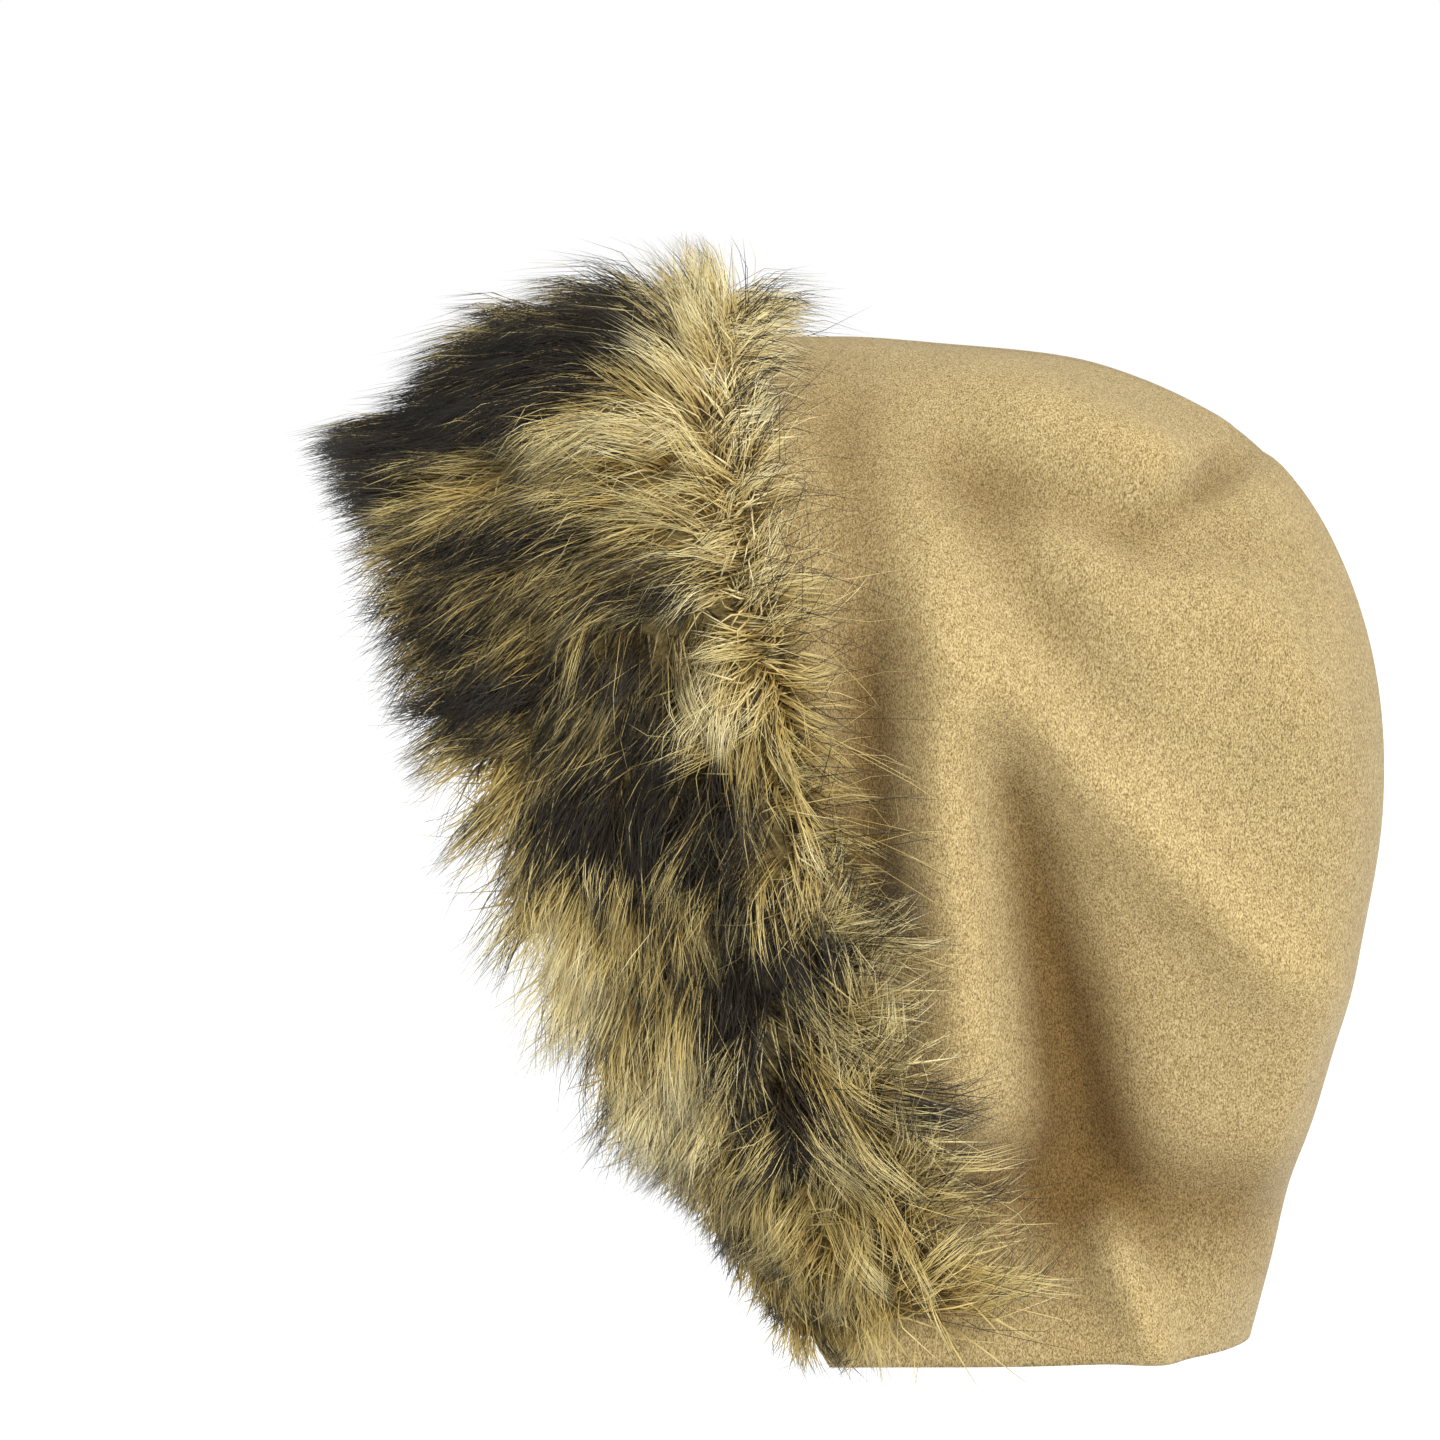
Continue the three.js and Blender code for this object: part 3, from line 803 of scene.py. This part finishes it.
def hair_pitch(back, along, pitch, combed_back, faces_in):
    """The angle of each hair to the cloth at its root and at its tip, in radians."""
    down = down_at(along)
    upright = upright_share(back, along)
    stand = between(FRINGE, "stand", down)
    sway = (PART_SWAY["root"] + stand) * (pitch - PART_SWAY["even"])
    brow = smooth((BROW["back"] - back) / BROW["fade"]) * np.exp(-((along / BROW["along"]) ** 2))
    pile = PITCH["pile"] * (1 - BROW["lower"] * brow)
    first = np.where(combed_back, between(FRINGE, "pitch", down), pile) * pitch
    at_root = PITCH["part"] + PART_SWAY["stand"] * stand + sway
    first = mix(first, at_root, upright * np.where(combed_back, PART_LIFT_BACK["root"], 1.0))
    last = np.where(combed_back, PITCH_AT_TIP["fringe"], PITCH_AT_TIP["pile"])
    at_tip = stand + PART_SWAY["tip"] * sway
    last = mix(last, at_tip, upright * np.where(combed_back, PART_LIFT_BACK["tip"], 1.0))
    crest = np.exp(-((back - CREST["back"]) / CREST["spread"]) ** 2 - (along / CREST["along"]) ** 2)
    first = np.where(faces_in, PITCH["facing"] * pitch, first + CREST["lift"] * crest)
    last = np.where(faces_in, PITCH_AT_TIP["facing"], last + CREST["lift"] * crest)
    straight = np.abs(first - last) < STRAIGHTEST
    last = np.where(straight, first - STRAIGHTEST, last)
    return np.radians(first)[..., None], np.radians(last)[..., None]


def hair_length(back, along, length, guard, lean, run_share, combed_back):
    """The length of each hair, cut where it would reach too far ahead of the cloth or past the hem."""
    down = down_at(along)
    stand = between(FRINGE, "stand", down)
    fringe = between(FRINGE, "length", down) * mix(1.0, between(FRINGE, "guard", down), guard)
    full = np.where(combed_back, fringe, between(STRIP, "length", down)) * length
    full = full * (1 - PART_TRIM["by"] * upright_share(back, along) * stand / PART_TRIM["stand"])
    angle = np.radians(lean)
    tip_down = np.minimum(1, down + np.maximum(0, full * np.sin(angle)) / EDGE_LENGTH)
    reach = np.maximum(SHORTEST, between(STRIP, "reach", tip_down) + back + GUARD_REACH * guard)
    reach = reach / np.maximum(LEAST["across"], np.cos(angle)) / run_share
    full = np.where(combed_back, full, np.minimum(full, reach * mix(RAGGED["front"], 1.0, length)))
    hem = EDGE_LENGTH + HEM_CLEAR - np.abs(along)
    room = hem / np.maximum(LEAST["down"], np.sin(angle) * run_share)
    return np.minimum(full, np.where(angle > 0, room * mix(RAGGED["hem"], 1.0, length), full))


def hair_path(back, along, t, length, turn, bend, pitch, guard, combed_back, faces_in):
    """The way of each hair over the strip: back, along and up for each place t from root to tip."""
    lean = hair_lean(back, along, turn, combed_back, faces_in)
    growing = bend[..., None] + LEAN_GROWTH["by"] * lean[..., None]
    angle = np.radians(lean[..., None] + growing * (t - LEAN_GROWTH["middle"]))
    first, last = hair_pitch(back, along, pitch, combed_back, faces_in)
    run_share = np.maximum(LEAST["run"], ((np.sin(first) - np.sin(last)) / (first - last))[..., 0])
    full = hair_length(back, along, length, guard, lean, run_share, combed_back)[..., None]
    now = first + (last - first) * t
    run = full * (np.sin(first) - np.sin(now)) / (first - last)
    rise = full * (np.cos(now) - np.cos(first)) / (first - last)
    heading = np.where(combed_back, 1.0, -1.0)[..., None]
    side = np.where(along < 0, -1.0, 1.0)[..., None]
    path_back = back[..., None] + heading * run * np.cos(angle)
    path_along = along[..., None] + side * run * np.sin(angle)
    up = np.where(faces_in[..., None], -WALL - ROOT_LIFT - FACING_RISE * rise, ROOT_LIFT + rise)
    return np.stack([path_back, path_along, up], -1)


def as_seen(points):
    """Where points show in the camera's picture, in the middle plane; the right side as if mirrored."""
    tilt = math.radians(CAMERA["height"])
    x, y, z = np.abs(points[..., 0]), points[..., 1] - AIM.y / MM, points[..., 2] - AIM.z / MM
    nearer = CAMERA["distance"] / MM / (CAMERA["distance"] / MM - x)
    return AIM.y / MM + y * nearer, AIM.z / MM + (z * math.cos(tilt) - x * math.sin(tilt)) * nearer


def spots(rows, y, z, side):
    """How strong the patches of a table are at a place, as the camera sees it."""
    found = np.zeros_like(y)
    shift = np.where(side > 0, 0.0, RIGHT_SHIFT)
    for spot_y, spot_z, long, wide, tilt, strength in zip(*rows.values()):
        c, s = math.cos(math.radians(tilt)), math.sin(math.radians(tilt))
        dy, dz = y - spot_y, z + shift - spot_z
        away = ((dy * c + dz * s) / long) ** 2 + ((-dy * s + dz * c) / wide) ** 2
        found = np.maximum(found, strength * smooth(SPOT_EDGE - away))
    return found


def hairs(name, kind, finish):
    """One coat of hair: its roots, the way of each hair, its thickness and its colours, as one mesh."""
    rng = np.random.default_rng(kind["seed"])
    count = kind["count"]
    share, along = roots(count, kind["seed"] * EVEN_STEPS["coat"])
    faces_in = rng.random(count) < kind["facing"]
    down = down_at(along)
    part = parting(along)
    outside = share * (between(STRIP, "width", down) + OVERHANG) - OVERHANG
    back = np.where(faces_in, share * FACING, outside)
    t = np.linspace(0, 1, kind["rings"] + 1)

    tuft_back, tuft_along, i, j = centres(back, along, HAIR_GRID["tuft"])
    lock_back, lock_along, lock_i, lock_j = centres(tuft_back, tuft_along, HAIR_GRID["lock"])
    crown = 1 + CROWN_MIX["more"] * np.exp(-((along / CROWN_MIX["along"]) ** 2))
    strayed = rng.normal(0, kind["cross"], count) * crown
    strayed = 0.5 * (back + tuft_back) + PART_MIX * (scatter(i, j, 12) - 0.5) + strayed
    combed_back = (strayed > part) & ~faces_in

    at_part = np.exp(-(((tuft_back - part) / AT_PART) ** 2))
    lock_wander = wander(lock_back, lock_along, LOCK_TURN["spacing"], 1)
    lock_turn = LOCK_TURN["own"] * (scatter(lock_i, lock_j, 4) - 0.5) + LOCK_TURN["wander"] * lock_wander
    tuft_turn = lock_turn + mix(*TUFT["turn"], at_part) * (scatter(i, j, 3) - 0.5)
    tuft_bend = mix(*TUFT["bend"], at_part) * (scatter(i, j, 9) - 0.5)
    tuft_length = kind["length"] * mix(*TUFT["length"], scatter(i, j, 5))
    tuft_pitch = kind["pitch"] * mix(*TUFT["lock_pitch"], scatter(lock_i, lock_j, 6))
    tuft_pitch = tuft_pitch * mix(*TUFT["pitch"], scatter(i, j, 7))

    nose = smooth(1 - back / NOSE["back"]) * (rng.random(count) < NOSE["share"]) * ~faces_in
    own_pitch = tuft_pitch * mix(*HAIR["pitch"], rng.random(count))
    own_pitch = own_pitch * mix(1.0, mix(*HAIR["nose_pitch"], rng.random(count)), nose)
    own_length = tuft_length * mix(*HAIR["length"], rng.random(count))
    guard = np.full(count, kind["guard"])
    loose = 1 + LOOSE_GUARD * guard * combed_back
    own_turn = tuft_turn + rng.normal(0, kind["unruly"], count) * loose
    own_bend = tuft_bend + rng.normal(0, kind["curl"], count) * loose
    middle_pitch = np.where(nose > 0, own_pitch, tuft_pitch)

    def path_from(from_back, from_along, length, turn, bend, pitch):
        return hair_path(from_back, from_along, t, length, turn, bend, pitch, guard, combed_back, faces_in)

    path = path_from(back, along, own_length, own_turn, own_bend, own_pitch)
    tuft = path_from(tuft_back, tuft_along, tuft_length, tuft_turn, tuft_bend, middle_pitch)
    lock = path_from(lock_back, lock_along, tuft_length, lock_turn, 0 * tuft_bend, middle_pitch)
    stray = np.where(rng.random(count) < kind["strays"], STRAY_GATHER, 1.0)[:, None, None]
    path = path + kind["gather"] * stray * (t ** GATHER_EASE["tuft"])[None, :, None] * (tuft - path)
    path = path + kind["lock"] * (t ** GATHER_EASE["lock"])[None, :, None] * (lock - path)
    phase = 2 * math.pi * scatter(i, j, 15)[:, None] + rng.normal(0, WAVE["own"], count)[:, None]
    for axis, shift in enumerate(WAVE["shifts"]):
        path[..., axis] += WAVE["height"] * t * np.sin(WAVE["pace"] * t + phase + shift)

    line = press_in(on_strip(path[..., 0], path[..., 1], path[..., 2]))
    points = thicken(rng, line, t, kind)
    place = dict(
        back=back, part=part, down=down, combed_back=combed_back, faces_in=faces_in,
        tuft=(i, j), lock=(lock_back, lock_along),
    )
    return hair_mesh(name, points, kind["rings"], hair_marks(rng, line, t, kind, place), finish)


def press_in(line):
    """Hair points, with those past the limits pressed in."""
    x, z = line[..., 0], line[..., 2]
    line[..., 0] = np.sign(x) * (np.abs(x) - (1 - PRESSED) * np.maximum(0, np.abs(x) - LIMITS["x"]))
    too_high, too_low = np.maximum(0, z - LIMITS["up"]), np.maximum(0, LIMITS["down"] - z)
    line[..., 2] = z + (1 - PRESSED) * (too_low - too_high)
    return line


def thicken(rng, line, t, kind):
    """Three corners round each ring of a hair, and one at its tip."""
    count, rings = kind["count"], kind["rings"]
    ahead = unit(np.gradient(line, axis=1))
    turn = rng.random(count) * 2 * math.pi
    sideways = unit(np.cross(ahead, stack(np.cos(turn), np.sin(turn), CROSS_SLANT)[:, None, :]))
    upright = np.cross(sideways, ahead)
    taper = np.interp(t[:-1], TAPER["place"], TAPER["width"])
    half = kind["width"] / 2 * mix(*HAIR["width"], rng.random(count))
    corners = 2 * math.pi * np.arange(3) / 3
    offsets = (
        sideways[:, :-1, None, :] * np.cos(corners)[None, None, :, None]
        + upright[:, :-1, None, :] * np.sin(corners)[None, None, :, None]
    )
    rims = line[:, :-1, None, :] + offsets * (half[:, None] * taper[None, :])[:, :, None, None]
    return np.concatenate([rims.reshape(count, rings * 3, 3), line[:, -1:, :]], 1)


def hair_marks(rng, line, t, kind, place):
    """What the material reads along each hair: its dark tip, its tone with the painted highlight of the pale
    tufts, its soot and the place along it.
    """
    count, down, combed_back = kind["count"], place["down"], place["combed_back"]
    i, j = place["tuft"]
    side = np.sign(line[:, -1, :1])
    seen = []
    for seen_at, use, (of_tuft, of_hair) in zip(as_seen(line), (13, 14), PATCH_EDGE.values()):
        jitter = of_tuft * (scatter(i, j, use) - 0.5) + rng.normal(0, of_hair, count)
        seen.append(seen_at + jitter[:, None])
    # Pale tufts lift the tone: partly the fur's own cream and partly painted highlight where the light falls
    pale = spots(PALE_AND_HIGHLIT_TUFTS, *seen, side)
    soot = spots(PATCHES, *seen, side) * mix(*SOOT["tuft"], scatter(i, j, 10))[:, None]
    streak = np.where(rng.random(count) < SOOT["pale_hairs"], SOOT["pale"], 1.0)
    soot = soot * (streak * mix(*SOOT["own"], rng.random(count)))[:, None]

    front = np.clip(1 - place["back"] / place["part"], 0, 1)
    tips = mix(*DARK_TIPS["pile"], smooth(front * DARK_TIPS["rise"]))
    tips = np.where(combed_back, between(FRINGE, "dark", down), tips)
    tips = np.where(place["faces_in"], DARK_TIPS["facing"], tips) * kind["dark"]
    tips = tips * mix(*DARK_TIPS["tuft"], scatter(i, j, 8)) * mix(*DARK_TIPS["own"], rng.random(count))
    tips = tips * (1 - DARK_TIPS["less_pale"] * pale[:, -1])
    mostly = np.where(combed_back, SOOTY_HAIRS["fringe"], 1 - SOOTY_HAIRS["less_pale"] * pale[:, -1])
    mostly = kind["sooty"] * (1 - SOOTY_HAIRS["less_down"] * down) * mostly
    is_sooty = rng.random(count) < mostly
    sooty_part = mix(SOOTY_HAIRS["from"], 1.0, rng.random(count)) + combed_back * kind["guard"]
    tips = np.where(is_sooty, sooty_part, tips)

    tone = TONE["middle"] + TONE["wander"] * wander(*place["lock"], TONE["spacing"], 2)
    tone = tone + TONE["tuft"] * (scatter(i, j, 11) - 0.5) + TONE["fringe"] * combed_back
    tone = tone + TONE["low"] * smooth((down - TONE["low_from"]) / TONE["low_fade"])
    tone = tone + rng.normal(0, TONE["own"], count)
    tone = tone[:, None] + TONE["pale"] * pale
    return {"dark": tips[:, None] + 0 * pale, "tone": tone, "soot": soot, "tip": t + 0 * pale}


def hair_mesh(name, points, rings, marks, finish):
    """Quads round each hair, three corners at its tip and one face at its root, with an even bake map."""
    count = len(points)
    own = rings * 3 + 1
    base = (np.arange(count) * own)[:, None]
    quads, quad_uv = [], []
    for k in range(rings - 1):
        for s in range(3):
            n = (s + 1) % 3
            quads.append([k * 3 + s, k * 3 + n, k * 3 + 3 + n, k * 3 + 3 + s])
            quad_uv.append([(s, k), (s + 1, k), (s + 1, k + 1), (s, k + 1)])
    ends, end_uv = [], []
    edge = (rings - 1) * 3
    for s in range(3):
        ends.append([edge + s, edge + (s + 1) % 3, own - 1])
        end_uv.append([(s, rings - 1), (s + 1, rings - 1), (s + 0.5, rings)])
    ends.append([2, 1, 0])
    end_uv.append([(0.5, -0.15), (1.5, -0.6), (2.5, -0.15)])
    corners = np.concatenate(
        [(base + np.array(quads).ravel()).ravel(), (base + np.array(ends).ravel()).ravel()]
    )
    sizes = np.concatenate([np.full(count * len(quads), 4), np.full(count * len(ends), 3)])
    mesh = bpy.data.meshes.new(name)
    mesh.vertices.add(count * own)
    mesh.vertices.foreach_set("co", (points * MM).ravel())
    mesh.loops.add(len(corners))
    mesh.loops.foreach_set("vertex_index", corners.astype(np.int32))
    mesh.polygons.add(len(sizes))
    mesh.polygons.foreach_set("loop_start", (np.cumsum(sizes) - sizes).astype(np.int32))
    mesh.update(calc_edges=True)
    mesh.shade_smooth()
    for key, values in marks.items():
        spread_out = np.concatenate([np.repeat(values[:, :-1], 3, axis=1), values[:, -1:]], 1)
        mark = mesh.attributes.new(key, "FLOAT", "POINT")
        mark.data.foreach_set("value", np.clip(spread_out, 0, 1).ravel())

    # Each hair has a cell of the bake map, four times as tall as wide, and its corners keep inside it
    columns = math.ceil(math.sqrt(count * 4))
    rows = math.ceil(count / columns)
    cell = np.stack([np.arange(count) % columns, np.arange(count) // columns], -1)
    size = np.array([1 / columns, 1 / rows])

    def spread(corner_uv):
        inner = np.array(corner_uv, float).reshape(-1, 2)
        inner = (inner + (0.4, 0.8)) / (3.8, rings + 1.0)
        return ((cell[:, None, :] + inner[None]) * size).reshape(-1, 2)

    uv = np.concatenate([spread(quad_uv), spread(end_uv)])
    layer = mesh.uv_layers.new(name="OFBake")
    layer.uv.foreach_set("vector", uv.ravel().astype(np.float32))
    piece = bpy.data.objects.new(name, mesh)
    bpy.context.scene.collection.objects.link(piece)
    return finish_piece(piece, name, finish, "fur_trim")


# The bed under the hair: stations along it, its height as a share of the pile, and how it rises from its edge
BED = {"stations": 240, "height": 0.45, "edge": 0.9, "rise": 2.2}
# Its nose ahead of the cloth, as shares of the pile: how far back, how high, and how many walls down; then
# the turn into the facing, and the clearances of the slot that holds the cloth
BED_NOSE = ((-0.3, 0.3, 0.0), (-0.5, 0.0, 0.5))
BED_TURN = {"back": -0.25, "deep": 0.6}
SLOT = {"outside": 0.35, "inside": 0.35, "facing": 0.5, "floor": 1}


def bed_section(width, pile):
    """The bed's outline, as pairs of back and up: over the top, round the nose and into the slot."""
    level = 0 * pile
    section = []
    for share in np.linspace(1.0, 0.05, 16):
        dome = np.sin(math.pi * min(1.0, (1 - share) * BED["rise"]) / 2)
        section.append((width * share, BED["edge"] + pile * BED["height"] * dome))
    for back, up, walls in BED_NOSE:
        section.append((back * pile, up * pile - walls * WALL))
    section.append((BED_TURN["back"] * pile, -WALL - FACING_PILE * BED_TURN["deep"] + level))
    for share in (0.15, 0.5, 0.8, 1.0):
        depth = SLOT["facing"] + FACING_PILE * 0.5 * (1 - share**3)
        section.append((FACING * share + level, -WALL - depth + level))
    for share in (1.0, 0.5, 0.0):
        section.append((FACING * share - SLOT["floor"] + level, -WALL - SLOT["inside"] + level))
    for share in np.linspace(0.0, 1.0, 17):
        section.append((width * share - SLOT["floor"] * (share == 0), SLOT["outside"] + level))
    return section


def fur_bed(finish):
    """The matted underfur and its backing: a band with a slot for the cloth, lying low under the hairs."""
    stations = BED["stations"]
    along = np.linspace(REACH, -REACH, stations + 1)
    width, pile = (between(STRIP, column, down_at(along)) for column in ("width", "pile"))
    section = bed_section(width, pile)
    ring = len(section)
    back, up = (np.stack(column, 1) for column in zip(*section))
    points = on_strip(back, np.repeat(along[:, None], ring, 1), up).reshape(-1, 3)
    start = np.arange(stations)[:, None] * ring
    corner = np.arange(ring)[None]
    after = (corner + 1) % ring
    faces = np.stack([start + corner, start + after, start + ring + after, start + ring + corner], -1)
    faces = faces.reshape(-1, 4).tolist()
    faces.append(list(range(ring))[::-1])
    faces.append([stations * ring + a for a in range(ring)])
    mesh = bpy.data.meshes.new("fur_bed")
    mesh.from_pydata((points * MM).tolist(), [], faces)
    mesh.update()
    piece = bpy.data.objects.new("fur_bed", mesh)
    bpy.context.scene.collection.objects.link(piece)
    bpy.ops.object.select_all(action="DESELECT")
    bpy.context.view_layer.objects.active = piece
    piece.select_set(True)
    bpy.ops.object.mode_set(mode="EDIT")
    bpy.ops.mesh.select_all(action="SELECT")
    bpy.ops.mesh.normals_make_consistent(inside=False)
    bpy.ops.object.mode_set(mode="OBJECT")
    mesh.shade_smooth()
    return finish_piece(piece, "fur_bed", finish, "fur_trim")


# The studio

def studio():
    """A pale floor far below, soft light from all round, and the camera where the photograph was taken."""
    bpy.ops.object.select_all(action="DESELECT")
    bpy.ops.mesh.primitive_plane_add(size=FLOOR_SIZE, location=(0, 0, FLOOR_Z))
    floor = bpy.context.object
    floor.name = "studio_floor"
    paint = Finish("studio_floor_paint")
    paint.set(Base_Color=FLOOR_WHITE, Roughness=0.95, Specular_IOR_Level=0.0)
    floor.data.materials.append(paint.material)

    world = bpy.data.worlds.new("studio_air")
    world.use_nodes = True
    air = world.node_tree
    where = air.nodes.new("ShaderNodeTexCoord")
    split = air.nodes.new("ShaderNodeSeparateXYZ")
    height = air.nodes.new("ShaderNodeMapRange")
    height.interpolation_type = "SMOOTHSTEP"
    for key, value in AIR.items():
        height.inputs[key].default_value = value
    air.links.new(where.outputs["Generated"], split.inputs[0])
    air.links.new(split.outputs["Z"], height.inputs["Value"])
    air.links.new(height.outputs[0], air.nodes["Background"].inputs["Strength"])
    air.nodes["Background"].inputs["Color"].default_value = (1, 1, 1, 1)
    bpy.context.scene.world = world

    for name, direction, strength, softness in SUNS:
        light = bpy.data.lights.new(name, "SUN")
        light.energy = strength
        light.angle = math.radians(softness)
        lamp = bpy.data.objects.new(name, light)
        lamp.location = AIM + Vector(direction)
        lamp.rotation_euler = Vector(direction).to_track_quat("Z", "Y").to_euler()
        bpy.context.scene.collection.objects.link(lamp)

    lens = bpy.data.cameras.new("photo_camera")
    lens.sensor_width = CAMERA["sensor"]
    lens.lens = CAMERA["lens"]
    lens.clip_end = CAMERA["sees"]
    camera = bpy.data.objects.new("photo_camera", lens)
    raised = math.radians(CAMERA["height"])
    camera.location = AIM + Vector((math.cos(raised), 0, math.sin(raised))) * CAMERA["distance"]
    camera.rotation_euler = (AIM - camera.location).to_track_quat("-Z", "Y").to_euler()
    bpy.context.scene.collection.objects.link(camera)
    bpy.context.scene.camera = camera
    bpy.context.scene.view_settings.view_transform = "Standard"


bpy.ops.object.select_all(action="DESELECT")

fleece = brushed_fleece()
panels = [
    fleece_panel("left_panel_cloth", "left_panel", 1, fleece),
    fleece_panel("right_panel_cloth", "right_panel", -1, fleece),
]
fur_bed(matted_bed())
coat = hair_finish("fur_hair")
for name, kind in HAIR_KINDS.items():
    hairs(name, kind, coat)
studio()
